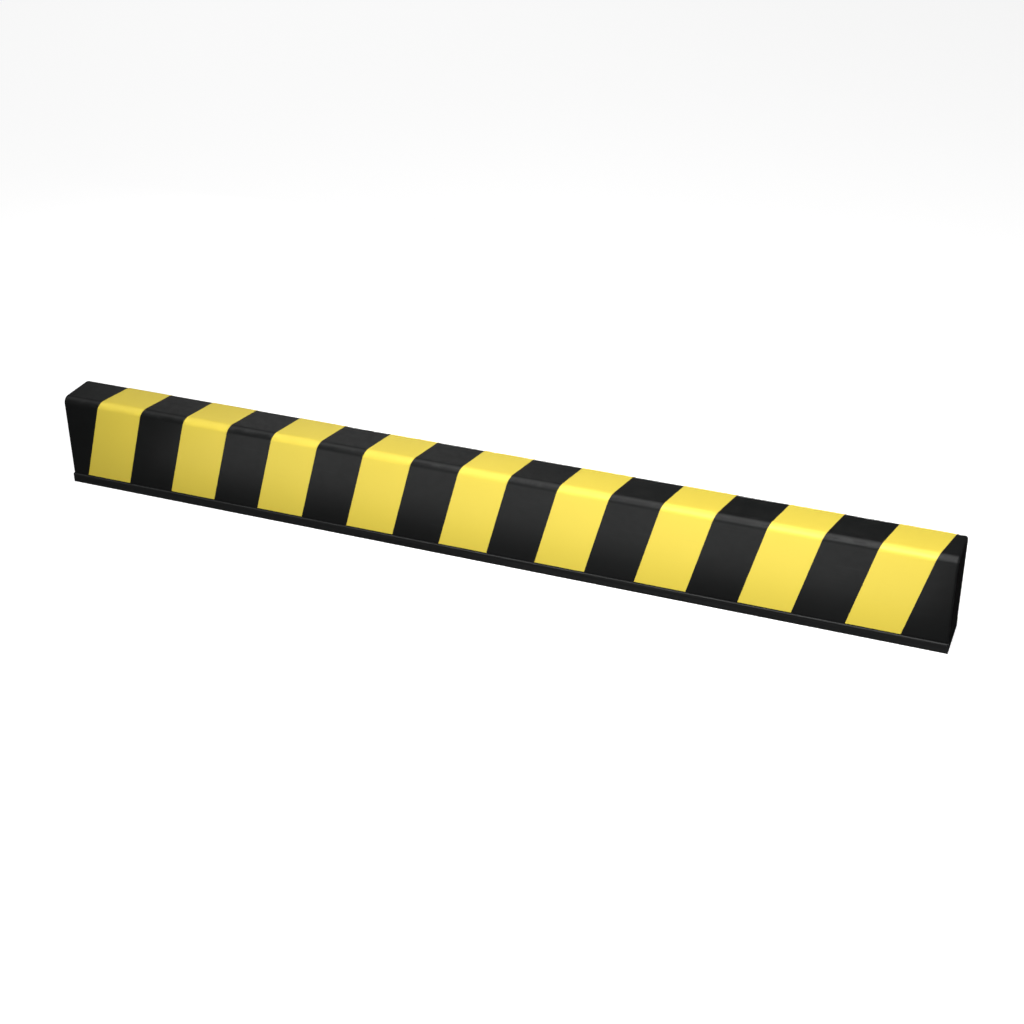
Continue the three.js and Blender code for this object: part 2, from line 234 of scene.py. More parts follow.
class Finish(Graph):
    """A material in the making: patterns on object coordinates, and one Principled shader."""

    def __init__(self, name):
        self.material = bpy.data.materials.new(name)
        self.material.use_nodes = True
        super().__init__(self.material.node_tree)
        self.tree.nodes.clear()
        self.place = self.add("ShaderNodeTexCoord").outputs["Object"]
        self.normal = self.add("ShaderNodeNewGeometry").outputs["Normal"]

    def stretched(self, x, y, z):
        inputs = {0: self.place, 1: (x, y, z)}
        return self.add("ShaderNodeVectorMath", inputs, operation="MULTIPLY").outputs[0]

    def noise(self, scale, detail=3, where=None):
        inputs = {"Vector": where or self.place, "Scale": scale, "Detail": detail, "Roughness": 0.55}
        return self.add("ShaderNodeTexNoise", inputs).outputs["Fac"]

    def cells(self, scale, output="Distance"):
        return self.add("ShaderNodeTexVoronoi", {"Vector": self.place, "Scale": scale}).outputs[output]

    def spread(self, value, low, high, to_low=0.0, to_high=1.0):
        inputs = {0: value, 1: low, 2: high, 3: to_low, 4: to_high}
        return self.add("ShaderNodeMapRange", inputs, interpolation_type="SMOOTHSTEP").outputs[0]

    def blend(self, amount, first, second):
        mix = self.add("ShaderNodeMix", data_type="RGBA")
        for index, value in ((0, amount), (6, first), (7, second)):
            if not isinstance(value, (bpy.types.NodeSocket, float)):
                value = (*value, 1.0)
            self.feed(mix.inputs[index], value)
        return mix.outputs[2]

    def curved(self):
        """1 on rounded edges, 0 on faces that look along an axis."""
        size = self.add("ShaderNodeVectorMath", {0: self.normal}, operation="ABSOLUTE").outputs[0]
        x, y, z = self.split(size)
        return self.spread(self.math("MAXIMUM", self.math("MAXIMUM", x, y), z), 0.97, 0.74)

    def facing_up(self):
        return self.spread(self.split(self.normal)[2], 0.5, 1.0)

    def bumps(self, *layers):
        """Stacks (height, strength, depth) layers into one normal."""
        normal = None
        for height, strength, depth in layers:
            node = self.add("ShaderNodeBump", {"Strength": strength, "Distance": depth, "Height": height})
            if normal:
                self.feed(node.inputs["Normal"], normal)
            normal = node.outputs[0]
        return normal

    def shade(self, colour, roughness, normal, metallic=0.0, specular=0.5, **more):
        shader = self.add("ShaderNodeBsdfPrincipled")
        values = {
            "Base Color": colour,
            "Roughness": roughness,
            "Metallic": metallic,
            "Specular IOR Level": specular,
            "Normal": normal,
            **more,
        }
        for key, value in values.items():
            self.feed(shader.inputs[key], value)
        output = self.add("ShaderNodeOutputMaterial")
        self.tree.links.new(shader.outputs[0], output.inputs[0])
        return self.material


def moulded_skin(settings):
    f = Finish("moulded_skin")
    cloud = f.noise(9, 4)
    mottle = f.noise(140, 5)
    pebble = f.cells(1500)
    grain = f.noise(3200, 2)
    hairlines = f.spread(f.noise(1, 2, f.stretched(14, 420, 900)), 0.64, 0.70)
    rubs = f.math("MULTIPLY", f.curved(), f.spread(f.noise(70, 6), 0.46, 0.70))
    dust = f.math("MULTIPLY", f.facing_up(), f.spread(f.noise(55, 7), 0.40, 0.85, 0.0, 0.022))
    colour = tuple(settings.colour)
    base = f.blend(f.spread(cloud, 0.3, 0.7), colour, tuple(1.28 * c for c in colour))
    base = f.blend(f.math("MULTIPLY", rubs, 0.40), base, tuple(settings.worn_colour))
    base = f.blend(f.math("MULTIPLY", hairlines, 0.10), base, tuple(settings.worn_colour))
    base = f.blend(dust, base, (0.26, 0.25, 0.235))
    rough = f.math("ADD", f.spread(mottle, 0.25, 0.75, 0.36, 0.45), f.math("MULTIPLY", dust, 1.2))
    normal = f.bumps((cloud, 0.10, 4 * MM), (pebble, 0.10, 0.10 * MM), (grain, 0.10, 0.05 * MM))
    return f.shade(base, rough, normal, specular=0.56)


def hazard_film(settings):
    f = Finish("hazard_film")
    cloud = f.noise(11, 4)
    peel = f.noise(420, 2)
    grain = f.noise(2600, 2)
    across = f.add("ShaderNodeAttribute", attribute_name="across").outputs["Fac"]
    band = f.add("ShaderNodeAttribute", attribute_name="band").outputs["Fac"]
    from_edge = f.math("MULTIPLY", f.math("MINIMUM", across, f.math("SUBTRACT", 1.0, across)), 2.0)
    patches = f.spread(f.noise(160, 6), 0.40, 0.75, 0.0, 0.45)
    grime = f.math("MULTIPLY", f.spread(from_edge, 0.035, 0.0), patches)
    specks = f.spread(f.noise(900, 3), 0.72, 0.80, 0.0, 0.22)
    marks = f.spread(f.noise(1, 3, f.stretched(24, 300, 620)), 0.66, 0.74, 0.0, 0.09)
    batch = f.spread(f.math("SINE", f.math("MULTIPLY", band, 2.4)), -1.0, 1.0, 0.0, 0.10)
    colour = tuple(settings.colour)
    base = f.blend(f.spread(cloud, 0.3, 0.7, 0.0, 0.35), colour, tuple(0.955 * c for c in colour))
    base = f.blend(batch, base, (0.86, 0.63, 0.060))
    base = f.blend(grime, base, (0.30, 0.24, 0.07))
    base = f.blend(f.math("ADD", specks, marks), base, (0.42, 0.34, 0.10))
    rough = f.math("ADD", f.spread(cloud, 0.25, 0.75, 0.33, 0.41), f.math("MULTIPLY", marks, 1.5))
    normal = f.bumps((peel, 0.10, 0.12 * MM), (grain, 0.06, 0.03 * MM))
    return f.shade(base, rough, normal, specular=0.40)


def anodised_rail(settings):
    f = Finish("anodised_rail")
    lines = f.noise(1, 4, f.stretched(5, 900, 1700))
    fine = f.noise(1, 3, f.stretched(30, 3000, 5200))
    cloud = f.noise(16, 5)
    nicks = f.spread(f.noise(520, 4), 0.70, 0.78)
    # Rounded edges lightened: partly rubbed anodising, partly a painted highlight along the rounded edges
    wear_and_painted_sheen = f.math("MULTIPLY", f.curved(), f.spread(f.noise(120, 5), 0.42, 0.68, 0.25, 1.0))
    colour = tuple(settings.colour)
    dark, light = tuple(0.62 * c for c in colour), tuple(1.55 * c for c in colour)
    base = f.blend(f.spread(lines, 0.3, 0.7), dark, light)
    base = f.blend(f.math("MULTIPLY", wear_and_painted_sheen, 0.09), base, (0.13, 0.13, 0.132))
    base = f.blend(f.math("MULTIPLY", nicks, 0.30), base, (0.20, 0.20, 0.20))
    rough = f.math("ADD", f.spread(cloud, 0.3, 0.7, 0.38, 0.47), f.spread(lines, 0.3, 0.7, -0.04, 0.06))
    normal = f.bumps((lines, 0.16, 0.10 * MM), (fine, 0.12, 0.04 * MM))
    return f.shade(base, rough, normal, specular=0.60)


def moulded_cap():
    f = Finish("moulded_cap")
    spark = f.cells(2100)
    cloud = f.noise(60, 4)
    base = f.blend(f.spread(cloud, 0.3, 0.7), (0.013, 0.013, 0.014), (0.021, 0.021, 0.022))
    base = f.blend(f.math("MULTIPLY", f.curved(), 0.18), base, (0.07, 0.07, 0.07))
    normal = f.bumps((spark, 0.30, 0.08 * MM))
    return f.shade(base, f.spread(cloud, 0.3, 0.7, 0.48, 0.60), normal)


def gasket_rubber():
    f = Finish("gasket_rubber")
    grain = f.noise(1900, 4)
    bloom = f.spread(f.noise(75, 6), 0.45, 0.80, 0.0, 0.18)
    base = f.blend(bloom, (0.0045, 0.0045, 0.0046), (0.035, 0.034, 0.033))
    return f.shade(base, f.spread(grain, 0.2, 0.8, 0.78, 0.92), f.bumps((grain, 0.35, 0.06 * MM)))


def galvanised_steel():
    f = Finish("galvanised_steel")
    flakes = f.cells(120, "Color")
    tone = f.add("ShaderNodeSeparateColor", {0: flakes}).outputs[0]
    grain = f.noise(900, 4)
    base = f.blend(f.spread(tone, 0.0, 1.0), (0.34, 0.36, 0.37), (0.56, 0.58, 0.59))
    white_rust = f.spread(f.noise(40, 7), 0.62, 0.78, 0.0, 0.5)
    base = f.blend(white_rust, base, (0.70, 0.70, 0.68))
    return f.shade(base, f.spread(tone, 0, 1, 0.30, 0.50), f.bumps((grain, 0.12, 0.08 * MM)), metallic=0.9)


def crumb_rubber():
    f = Finish("crumb_rubber")
    tint = f.add("ShaderNodeSeparateColor", {0: f.cells(480, "Color")}).outputs[0]
    crumbs = f.cells(480)
    base = f.blend(f.spread(tint, 0.0, 1.0), (0.012, 0.012, 0.012), (0.036, 0.036, 0.037))
    base = f.blend(f.spread(tint, 0.93, 0.96), base, (0.11, 0.12, 0.14))
    return f.shade(base, f.spread(tint, 0, 1, 0.82, 0.96), f.bumps((crumbs, 0.9, 0.8 * MM)))


def slide_plastic():
    f = Finish("slide_plastic")
    lines = f.noise(1, 4, f.stretched(6, 1400, 1400))
    smear = f.spread(f.noise(35, 6), 0.50, 0.80, 0.0, 0.35)
    base = f.blend(smear, (0.70, 0.70, 0.65), (0.36, 0.35, 0.31))
    return f.shade(base, f.spread(lines, 0.3, 0.7, 0.38, 0.55), f.bumps((lines, 0.2, 0.05 * MM)))


def zinc_plate():
    f = Finish("zinc_plate")
    cloud = f.noise(340, 5)
    dull = f.spread(f.noise(700, 6), 0.52, 0.74, 0.0, 0.55)
    base = f.blend(f.spread(cloud, 0.3, 0.7), (0.50, 0.52, 0.54), (0.66, 0.67, 0.68))
    base = f.blend(dull, base, (0.40, 0.40, 0.39))
    rough = f.math("ADD", f.spread(cloud, 0.3, 0.7, 0.24, 0.36), f.math("MULTIPLY", dull, 0.35))
    return f.shade(base, rough, f.bumps((f.noise(2400, 3), 0.12, 0.03 * MM)), metallic=0.95)


def pale_floor(settings):
    f = Finish("pale_floor")
    cloud = f.noise(0.8, 3)
    grain = f.noise(400, 3)
    colour = tuple(settings.floor_colour)
    base = f.blend(f.spread(cloud, 0.3, 0.7), colour, tuple(0.985 * c for c in colour))
    glow = {"Emission Color": (1.0, 1.0, 1.0, 1.0), "Emission Strength": settings.table}
    rough = f.spread(cloud, 0.3, 0.7, 0.84, 0.92)
    return f.shade(base, rough, f.bumps((grain, 0.05, 0.2 * MM)), specular=0.1, **glow)


# Meshes


def smooth(mesh):
    mesh.shade_smooth()
    mesh.set_sharp_from_angle(angle=SMOOTH_ANGLE)


def place_piece(name, mesh, material, slot, *nodes):
    """Puts a finished mesh in the scene as a piece that stands for the given nodes."""
    mesh.name = name
    mesh.materials.clear()
    mesh.materials.append(material)
    piece = bpy.data.objects.new(name, mesh)
    bpy.context.collection.objects.link(piece)
    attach(piece, BODY)
    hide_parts(*nodes)
    return piece


def mesh_from(build):
    """Runs build on an empty bmesh and returns it as a mesh with its faces outwards."""
    shape = bmesh.new()
    build(shape)
    bmesh.ops.recalc_face_normals(shape, faces=shape.faces)
    mesh = bpy.data.meshes.new("made")
    shape.to_mesh(mesh)
    shape.free()
    return mesh


def bar(low, high, radius, end_radius):
    """A bar along X with two round long top edges and a smaller round edge about each end face."""
    half, middle = (high.y - low.y) / 2, (low.y + high.y) / 2

    def section(inset):
        """The cross-section drawn in by inset, from the front foot over the top to the back foot."""
        r = radius - inset
        y, z = half - radius, high.z - radius
        turns = [math.pi / 2 * n / ARC_STEPS for n in range(ARC_STEPS + 1)]
        over_front = [(-y - r * math.cos(a), z + r * math.sin(a)) for a in turns]
        over_back = [(-side, height) for side, height in reversed(over_front)]
        foot = half - inset
        return [(-foot, low.z), *over_front, *over_back, (foot, low.z)]

    def build(shape):
        turns = [math.pi / 2 * n / END_STEPS for n in range(END_STEPS + 1)]
        stations = [(end_radius * (1 - math.cos(a)), end_radius * (1 - math.sin(a))) for a in turns]
        places = [(low.x + into, inset) for into, inset in stations]
        places += [(high.x - into, inset) for into, inset in reversed(stations)]
        rings = [[shape.verts.new((x, middle + y, z)) for y, z in section(inset)] for x, inset in places]
        for one, two in zip(rings, rings[1:]):
            for n in range(len(one)):
                m = (n + 1) % len(one)
                shape.faces.new((one[n], one[m], two[m], two[n]))
        shape.faces.new(rings[0])
        shape.faces.new(rings[-1])

    return mesh_from(build)


def rounded_box(low, high, radius, segments):
    """A box with round upright and top edges."""

    def build(shape):
        bmesh.ops.create_cube(shape, size=1.0)
        size = high - low
        bmesh.ops.transform(
            shape,
            matrix=Matrix.Translation((low + high) / 2) @ Matrix.Diagonal((*size, 1.0)),
            verts=shape.verts,
        )
        middle = (low.z + high.z) / 2
        edges = [e for e in shape.edges if max(v.co.z for v in e.verts) > middle]
        bmesh.ops.bevel(
            shape,
            geom=edges,
            offset=radius,
            offset_type="OFFSET",
            segments=segments,
            profile=0.5,
            affect="EDGES",
        )

    return mesh_from(build)


def turned(profile, sides):
    """A closed solid turned about Y from (radius, y) points."""

    def build(shape):
        rings = []
        for radius, along in profile:
            if radius == 0:
                rings.append([shape.verts.new((0, along, 0))])
                continue
            turns = [2 * math.pi * n / sides for n in range(sides)]
            places = [(radius * math.cos(a), along, radius * math.sin(a)) for a in turns]
            rings.append([shape.verts.new(place) for place in places])
        for one, two in zip(rings, rings[1:]):
            for n in range(sides):
                m = (n + 1) % sides
                loop = [one[n % len(one)], one[m % len(one)], two[m % len(two)], two[n % len(two)]]
                shape.faces.new(list(dict.fromkeys(loop)))
        bmesh.ops.remove_doubles(shape, verts=shape.verts, dist=1e-7)

    return mesh_from(build)


def rod(radius, centre, start, end, sides):
    """A cylinder along Y through the centre."""
    mesh = turned([(0, start), (radius, start), (radius, end), (0, end)], sides)
    mesh.transform(Matrix.Translation((centre.x, 0, centre.z)))
    return mesh


def carved(mesh, steps, bevel=None, segments=3):
    """Adds and cuts away solids in turn, then rounds the sharp edges, and returns a plain mesh."""
    work = bpy.data.objects.new("work", mesh)
    bpy.context.collection.objects.link(work)
    tools = []
    for operation, solid in steps:
        tool = bpy.data.objects.new("tool", solid)
        bpy.context.collection.objects.link(tool)
        tool.hide_render = True
        tools.append(tool)
        boolean = work.modifiers.new("carve", "BOOLEAN")
        boolean.operation = operation
        boolean.object = tool
        boolean.solver = "EXACT"
    if bevel:
        rounding = work.modifiers.new("rounding", "BEVEL")
        rounding.width = bevel
        rounding.segments = segments
        rounding.limit_method = "ANGLE"
        rounding.angle_limit = BEVEL_ANGLE
        rounding.harden_normals = False
    bpy.context.view_layer.update()
    result = bpy.data.meshes.new_from_object(work.evaluated_get(bpy.context.evaluated_depsgraph_get()))
    for spare in [work, *tools]:
        bpy.data.objects.remove(spare)
    return result


def softened(node, width):
    """A copy of a CAD node's shape with its loose triangles joined and its sharp edges rounded."""
    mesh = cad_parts[node].data.copy()
    shape = bmesh.new()
    shape.from_mesh(mesh)
    bmesh.ops.remove_doubles(shape, verts=shape.verts, dist=SAME_POINT)
    bmesh.ops.dissolve_limit(shape, angle_limit=FLAT_ANGLE, verts=shape.verts, edges=shape.edges)
    shape.to_mesh(mesh)
    shape.free()
    return carved(mesh, [], bevel=width)


def even_shading(piece):
    """Keeps broad faces flat beside their rounded edges."""
    weights = piece.modifiers.new("even_shading", "WEIGHTED_NORMAL")
    weights.keep_sharp = True
    weights.weight = BROAD_FACE_WEIGHT


def grown(tree, **inputs):
    """Runs a Geometry Nodes tree with the named inputs and returns the result as a plain mesh."""
    holder = bpy.data.objects.new("holder", bpy.data.meshes.new("holder"))
    modifier = holder.modifiers.new("grow", "NODES")
    modifier.node_group = tree
    for item in tree.interface.items_tree:
        if item.item_type == "SOCKET" and item.in_out == "INPUT" and item.name in inputs:
            modifier[item.identifier] = inputs[item.name]
    bpy.context.collection.objects.link(holder)
    bpy.context.view_layer.update()
    mesh = bpy.data.meshes.new_from_object(holder.evaluated_get(bpy.context.evaluated_depsgraph_get()))
    holder.modifiers.remove(modifier)
    bpy.data.objects.remove(holder)
    return mesh


def new_tree(name, sockets):
    tree = bpy.data.node_groups.new(name, "GeometryNodeTree")
    for label, kind in sockets:
        tree.interface.new_socket(label, in_out="INPUT", socket_type=kind)
    tree.interface.new_socket("Geometry", in_out="OUTPUT", socket_type="NodeSocketGeometry")
    return tree


def band_tree():
    """Bands of film bent over the cover: one strip is folded over the edges, repeated, then leant."""
    floats = ["Width", "Pitch", "First", "Side lean", "Top lean", "Half depth", "Base", "Top"]
    floats += ["Edge radius", "Film", "Reach"]
    sockets = [("Count", "NodeSocketInt"), *[(name, "NodeSocketFloat") for name in floats]]
    sockets.append(("Material", "NodeSocketMaterial"))
    g = Graph(new_tree("hazard_bands", sockets))
    given = g.add("NodeGroupInput").outputs

    line = g.add("GeometryNodeMeshLine", {"Count": 4}).outputs[0]
    turn = g.math("SUBTRACT", g.add("GeometryNodeInputIndex").outputs[0], 1.5)
    raised = g.math("LESS_THAN", g.math("ABSOLUTE", turn), 1.0)
    rise = g.math("MULTIPLY", raised, g.math("SUBTRACT", given["Top"], given["Base"]))
    side = g.math("MULTIPLY", g.math("SIGN", turn), given["Half depth"])
    corner = g.vector(0.0, side, g.math("ADD", given["Base"], rise))
    path = g.add("GeometryNodeSetPosition", {"Geometry": line, "Position": corner}).outputs[0]
    path = g.add("GeometryNodeMeshToCurve", {0: path}).outputs[0]
    inputs = {"Curve": path, "Count": ARC_STEPS, "Radius": given["Edge radius"]}
    path = g.add("GeometryNodeFilletCurve", inputs, mode="POLY").outputs[0]
    path = g.add("GeometryNodeCurveToMesh", {"Curve": path}).outputs[0]

    inputs = {"Mesh": path, "Offset": g.vector(given["Width"], 0.0, 0.0)}
    strip = g.add("GeometryNodeExtrudeMesh", inputs, mode="EDGES").outputs[0]
    where = g.add("GeometryNodeInputPosition").outputs[0]
    across = g.math("DIVIDE", g.split(where)[0], given["Width"])
    inputs = {"Geometry": strip, "Name": "across", "Value": across}
    strip = g.add("GeometryNodeStoreNamedAttribute", inputs).outputs[0]
    inputs = {"Mesh": strip, "Offset Scale": given["Film"], "Individual": False}
    skin = g.add("GeometryNodeExtrudeMesh", inputs, mode="FACES").outputs[0]
    back = g.add("GeometryNodeFlipFaces", {0: strip}).outputs[0]
    joined = g.add("GeometryNodeJoinGeometry")
    g.feed(joined.inputs[0], back)
    g.feed(joined.inputs[0], skin)
    inputs = {"Geometry": joined.outputs[0], "Distance": SAME_POINT}
    solid = g.add("GeometryNodeMergeByDistance", inputs).outputs[0]

    inputs = {
        "Count": given["Count"],
        "Start Location": g.vector(given["First"], 0.0, 0.0),
        "Offset": g.vector(given["Pitch"], 0.0, 0.0),
    }
    row = g.add("GeometryNodeMeshLine", inputs).outputs[0]
    copies = g.add("GeometryNodeInstanceOnPoints", {"Points": row, "Instance": solid}).outputs[0]
    number = g.add("GeometryNodeInputIndex").outputs[0]
    inputs = {"Geometry": copies, "Name": "band", "Value": number}
    copies = g.add("GeometryNodeStoreNamedAttribute", inputs, domain="INSTANCE").outputs[0]
    bands = g.add("GeometryNodeRealizeInstances", {0: copies}).outputs[0]

    x, y, z = g.split(where)
    front_rise = g.math("SUBTRACT", z, given["Base"])
    up_and_down = g.math("MULTIPLY", g.math("SUBTRACT", given["Top"], given["Base"]), 2.0)
    over_and_down = g.math("SUBTRACT", up_and_down, front_rise)
    at_front = g.math("LESS_THAN", y, 0.0)
    difference = g.math("SUBTRACT", front_rise, over_and_down)
    run = g.math("ADD", over_and_down, g.math("MULTIPLY", at_front, difference))
    sideways = g.math("MULTIPLY", g.math("ADD", y, given["Half depth"]), given["Top lean"])
    lean = g.math("ADD", g.math("MULTIPLY", run, given["Side lean"]), sideways)
    leant = g.vector(g.math("MINIMUM", g.math("ADD", x, lean), given["Reach"]), y, z)
    bands = g.add("GeometryNodeSetPosition", {"Geometry": bands, "Position": leant}).outputs[0]
    bands = g.add("GeometryNodeSetMaterial", {"Geometry": bands, "Material": given["Material"]}).outputs[0]
    g.feed(g.add("NodeGroupOutput").inputs[0], bands)
    return g.tree


def fastener_row_tree():
    """Equal fasteners in a row along X, each turned about its own axis by chance."""
    sockets = [
        ("Fastener", "NodeSocketObject"),
        ("Count", "NodeSocketInt"),
        ("First", "NodeSocketVector"),
        ("Pitch", "NodeSocketFloat"),
        ("Seed", "NodeSocketInt"),
        ("Material", "NodeSocketMaterial"),
    ]
    g = Graph(new_tree("fastener_row", sockets))
    given = g.add("NodeGroupInput").outputs
    inputs = {
        "Count": given["Count"],
        "Start Location": given["First"],
        "Offset": g.vector(given["Pitch"], 0.0, 0.0),
    }
    row = g.add("GeometryNodeMeshLine", inputs).outputs[0]
    fastener = g.add("GeometryNodeObjectInfo", {"Object": given["Fastener"]}).outputs["Geometry"]
    chance = g.add("FunctionNodeRandomValue", {"Seed": given["Seed"]}, data_type="FLOAT").outputs[1]
    turn = g.vector(0.0, g.math("MULTIPLY", chance, 2 * math.pi), 0.0)
    inputs = {"Points": row, "Instance": fastener, "Rotation": turn}
    copies = g.add("GeometryNodeInstanceOnPoints", inputs).outputs[0]
    solid = g.add("GeometryNodeRealizeInstances", {0: copies}).outputs[0]
    solid = g.add("GeometryNodeSetMaterial", {"Geometry": solid, "Material": given["Material"]}).outputs[0]
    g.feed(g.add("NodeGroupOutput").inputs[0], solid)
    return g.tree


def fastener_row(name, stem, count, mesh, seat, material, seed):
    """Sets one turned fastener at each node called stem_1, stem_2 and so on."""
    model = bpy.data.objects.new("model", mesh)
    bpy.context.collection.objects.link(model)
    first = centre_of(f"{stem}_1")
    pitch = centre_of(f"{stem}_2").x - first.x
    row = grown(
        fastener_row_tree(),
        Fastener=model,
        Count=count,
        First=(first.x, seat, first.z),
        Pitch=pitch,
        Seed=seed,
        Material=material,
    )
    bpy.data.objects.remove(model)
    smooth(row)
    return place_piece(name, row, material, "fastener", *[f"{stem}_{n + 1}" for n in range(count)])


def dress(material, *stems):
    """Gives a finish to the CAD nodes whose names start with one of the stems."""
    found = [node for name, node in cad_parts.items() if name.startswith(stems)]
    if not found:
        raise RuntimeError(f"no node is named after {stems}")
    for node in found:
        node.data.materials.clear()
        node.data.materials.append(material)


# Operators


class WHEELSTOP_OT_cover(bpy.types.Operator):
    """Makes the moulded cover with its screw pockets"""

    bl_idname = "wheelstop.cover"
    bl_label = "Cover"

    def execute(self, context):
        s = context.scene.wheelstop_cover
        below = Vector((0, 0, SPARE_DEPTH))
        outer = bar(COVER_LOW - below, COVER_HIGH, s.edge_radius, s.end_radius)
        inset = Vector((s.wall, s.wall, 0))
        toe = Vector((0, 0, TOE_HEIGHT))
        lid = Vector((0, 0, s.wall))
        cavity = rounded_box(COVER_LOW + inset + toe, COVER_HIGH - inset - lid, CAVITY_ROUND, 4)
        core_low, core_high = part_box("core_channel")
        half_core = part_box("rear_buffer")[0].y + BUFFER_OVERLAP
        margin = NECK_CLEARANCE
        neck = rounded_box(
            Vector((core_low.x - margin, -half_core, COVER_LOW.z - margin)),
            Vector((core_high.x + margin, half_core, COVER_LOW.z + 2 * toe.z)),
            NECK_ROUND,
            2,
        )
        slab_top = Vector((COVER_HIGH.x, COVER_HIGH.y, COVER_LOW.z)) + inset
        slab = rounded_box(COVER_LOW - 2 * below - inset, slab_top, SLAB_ROUND, 1)
        floor_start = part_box("rivet_nut_1")[1].y + NUT_GAP
        floor_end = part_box("cover_washer_1")[0].y - WASHER_GAP
        steps = [("DIFFERENCE", slab), ("DIFFERENCE", cavity), ("DIFFERENCE", neck)]
        centres = [centre_of(f"cover_screw_{n + 1}") for n in range(SCREW_COUNT)]
        boss_end = COVER_HIGH.y - s.wall / 2
        for centre in centres:
            boss_radius = s.pocket_radius + POCKET_WALL
            steps.append(("UNION", rod(boss_radius, centre, floor_start, boss_end, MIDDLE_SIDES)))
        for centre in centres:
            pocket = rod(s.pocket_radius, centre, floor_end, COVER_HIGH.y + inset.y, FINE_SIDES)
            steps.append(("DIFFERENCE", pocket))
            steps.append(("DIFFERENCE", rod(SCREW_HOLE, centre, 0, COVER_HIGH.y, COARSE_SIDES)))
        mesh = carved(outer, steps, bevel=s.rim_radius)
        smooth(mesh)
        piece = place_piece("cover_shell", mesh, moulded_skin(s), "cover", "cover")
        even_shading(piece)
        return {"FINISHED"}


class WHEELSTOP_OT_bands(bpy.types.Operator):
    """Lays the slanting hazard bands over the cover"""

    bl_idname = "wheelstop.bands"
    bl_label = "Hazard bands"

    def execute(self, context):
        s = context.scene.wheelstop_bands
        cover = context.scene.wheelstop_cover
        film = hazard_film(s)
        mesh = grown(
            band_tree(),
            **{
                "Count": BAND_COUNT,
                "Width": s.width,
                "Pitch": BAND_STARTS[1] - BAND_STARTS[0],
                "First": BAND_STARTS[0],
                "Side lean": s.side_lean,
                "Top lean": s.top_lean,
                "Half depth": COVER_HIGH.y + s.stand_off,
                "Base": COVER_LOW.z + cover.rim_radius,
                "Top": COVER_HIGH.z + s.stand_off,
                "Edge radius": cover.edge_radius + s.stand_off,
                "Film": s.film,
                "Reach": COVER_HIGH.x - cover.end_radius,
                "Material": film,
            },
        )
        shape = bmesh.new()
        shape.from_mesh(mesh)
        bmesh.ops.recalc_face_normals(shape, faces=shape.faces)
        shape.to_mesh(mesh)
        shape.free()
        smooth(mesh)
        names = [f"hazard_stripe_{n + 1}" for n in range(BAND_COUNT)]
        place_piece("hazard_bands", mesh, film, "film", *names)
        return {"FINISHED"}


class WHEELSTOP_OT_rail(bpy.types.Operator):
    """Makes the anchored rail, its end caps and the gasket on it"""

    bl_idname = "wheelstop.rail"
    bl_label = "Rail, end caps and gasket"

    def execute(self, context):
        s = context.scene.wheelstop_rail
        cap = moulded_cap()
        made = [
            ("rail_extrusion", "base_rail", s.edge_round, anodised_rail(s), "rail"),
            ("rail_cap_left", "rail_end_cap_left", s.edge_round, cap, "cap"),
            ("rail_cap_right", "rail_end_cap_right", s.edge_round, cap, "cap"),
            ("gasket_frame", "base_gasket", s.gasket_round, gasket_rubber(), "gasket"),
        ]
        for name, node, width, material, slot in made:
            mesh = softened(node, width)
            smooth(mesh)
            even_shading(place_piece(name, mesh, material, slot, node))
        return {"FINISHED"}


def key_socket(radius, top):
    return rod(radius, Vector((0, 0, 0)), top - KEY_DEPTH, top + MM, KEY_SIDES)


def cover_screw():
    """A dome-headed screw with a hexagon socket, its head resting at Y = 0."""
    shank, length, tip = 3 * MM, 15.9 * MM, 0.5 * MM
    head, rim, height, soft = 5.25 * MM, 0.9 * MM, 3.3 * MM, 0.2 * MM
    dome = []
    for n in range(DOME_STEPS):
        angle = n / DOME_STEPS * math.pi / 2
        dome.append((head * math.cos(angle), rim + (height - rim) * math.sin(angle)))
    outline = [(0, -length), (shank - tip, -length), (shank, -length + tip), (shank, 0)]
    outline += [(head - soft, 0), (head, soft), *dome, (0, height)]
    steps = [("DIFFERENCE", key_socket(2.3 * MM, height))]
    return carved(turned(outline, FINE_SIDES), steps, bevel=0.12 * MM, segments=2)


def cover_washer():
    hole, outside, thick, soft = 3.2 * MM, 8.4 * MM, 1.5 * MM, 0.25 * MM
    ring = [(hole, 0), (outside - soft, 0), (outside, soft), (outside, thick - soft)]
    ring += [(outside - soft, thick), (hole + soft, thick), (hole, thick - soft), (hole, 0)]
    return turned(ring, FINE_SIDES)


def lock_screw():
    """A headless screw with a hexagon socket in its outer end."""
    radius, long, soft = 1.98 * MM, 3.4 * MM, 0.3 * MM
    outline = [(0, 0), (radius - soft, 0), (radius, soft)]
    outline += [(radius, long - soft), (radius - soft, long), (0, long)]
    steps = [("DIFFERENCE", key_socket(1.15 * MM, long))]
    return carved(turned(outline, MIDDLE_SIDES), steps)


class WHEELSTOP_OT_fasteners(bpy.types.Operator):
    """Sets the cover screws, washers and lock screws"""

    bl_idname = "wheelstop.fasteners"
    bl_label = "Fasteners"

    def execute(self, context):
        zinc = zinc_plate()
        washer_low, washer_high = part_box("cover_washer_1")
        screw_seat = washer_high.y + WASHER_GAP
        lock_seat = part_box("lock_screw_1")[0].y
        screws, locks = SCREW_COUNT, LOCK_COUNT
        fastener_row("cover_screws", "cover_screw", screws, cover_screw(), screw_seat, zinc, 3)
        fastener_row("cover_washers", "cover_washer", screws, cover_washer(), washer_low.y, zinc, 5)
        fastener_row("lock_screws", "lock_screw", locks, lock_screw(), lock_seat, zinc, 7)
        dress(zinc, "rivet_nut_")
        return {"FINISHED"}


